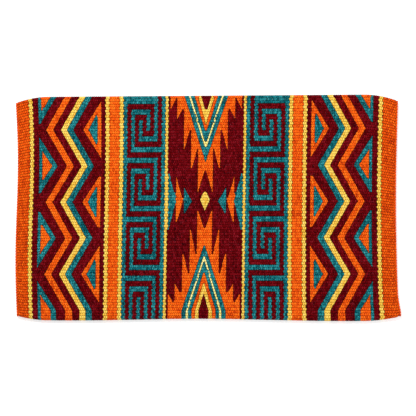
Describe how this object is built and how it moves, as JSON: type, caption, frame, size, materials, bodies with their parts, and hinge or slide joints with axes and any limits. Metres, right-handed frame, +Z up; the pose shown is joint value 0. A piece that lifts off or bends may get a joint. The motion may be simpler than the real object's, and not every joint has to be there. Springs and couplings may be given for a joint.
{
  "type": "saddle blanket",
  "caption": "Handwoven wool saddle blanket with zigzag, fret and serrated figures in bands, folded in half along its spine line.",
  "frame": {"origin": "middle of the folded blanket's footprint, on the surface that it lies on", "axes": "+X along the warp, which is the blanket's length and runs along the horse's spine; +Y from the fold to the selvages; +Z up through the two layers"},
  "size_m": [0.8626, 0.508, 0.014],
  "materials": {
    "orange_wool": "matte",
    "maroon_wool": "matte",
    "teal_wool": "matte",
    "yellow_wool": "matte",
    "end_cord_wool": "matte",
    "warp_wool": "matte"
  },
  "bodies": {
    "lower_half": {"fold_turn": "maroon_wool", "lower_centre_panel": "maroon_wool", "lower_left_end_cord": "end_cord_wool", "lower_left_panel": "teal_wool", "lower_right_end_cord": "end_cord_wool", "lower_right_panel": "teal_wool", "lower_warp": "warp_wool"},
    "upper_half": {"upper_centre_ground": "maroon_wool", "upper_diamond": "yellow_wool", "upper_fold_chevron": "teal_wool", "upper_fold_field": "orange_wool", "upper_fold_wedge": "orange_wool", "upper_left_centre_yellow_stripe": "yellow_wool", "upper_left_end_band": "orange_wool", "upper_left_end_cord": "end_cord_wool", "upper_left_end_yellow_stripe": "yellow_wool", "upper_left_fret_cut_hooks": "maroon_wool", "upper_left_fret_inner_comb": "teal_wool", "upper_left_fret_meander": "maroon_wool", "upper_left_fret_outer_comb": "teal_wool", "upper_left_fret_yellow_stripe": "yellow_wool", "upper_left_inner_triangle_1": "orange_wool", "upper_left_inner_triangle_2": "orange_wool", "upper_left_inner_triangle_3": "orange_wool", "upper_left_orange_stripe": "orange_wool", "upper_left_outer_triangle_1": "teal_wool", "upper_left_outer_triangle_2": "teal_wool", "upper_left_zigzag_inner_ground": "maroon_wool", "upper_left_zigzag_maroon": "maroon_wool", "upper_left_zigzag_orange": "orange_wool", "upper_left_zigzag_outer_ground": "maroon_wool", "upper_left_zigzag_teal": "teal_wool", "upper_left_zigzag_yellow": "yellow_wool", "upper_left_zigzag_yellow_stripe": "yellow_wool", "upper_right_centre_yellow_stripe": "yellow_wool", "upper_right_end_band": "orange_wool", "upper_right_end_cord": "end_cord_wool", "upper_right_end_yellow_stripe": "yellow_wool", "upper_right_fret_cut_hooks": "maroon_wool", "upper_right_fret_inner_comb": "teal_wool", "upper_right_fret_meander": "maroon_wool", "upper_right_fret_outer_comb": "teal_wool", "upper_right_fret_yellow_stripe": "yellow_wool", "upper_right_inner_triangle_1": "orange_wool", "upper_right_inner_triangle_2": "orange_wool", "upper_right_inner_triangle_3": "orange_wool", "upper_right_orange_stripe": "orange_wool", "upper_right_outer_triangle_1": "teal_wool", "upper_right_outer_triangle_2": "teal_wool", "upper_right_zigzag_inner_ground": "maroon_wool", "upper_right_zigzag_maroon": "maroon_wool", "upper_right_zigzag_orange": "orange_wool", "upper_right_zigzag_outer_ground": "maroon_wool", "upper_right_zigzag_teal": "teal_wool", "upper_right_zigzag_yellow": "yellow_wool", "upper_right_zigzag_yellow_stripe": "yellow_wool", "upper_selvage_chevron": "teal_wool", "upper_selvage_field": "orange_wool", "upper_selvage_wedge": "orange_wool", "upper_warp": "warp_wool"}
  },
  "joints": [
    {"name": "spine_fold", "type": "hinge", "parent": "lower_half", "child": "upper_half", "pos_m": [0, -0.24716, 0.007], "axis": [1, 0, 0], "range_deg": [0, 180], "deforming": ["fold_turn"]}
  ]
}
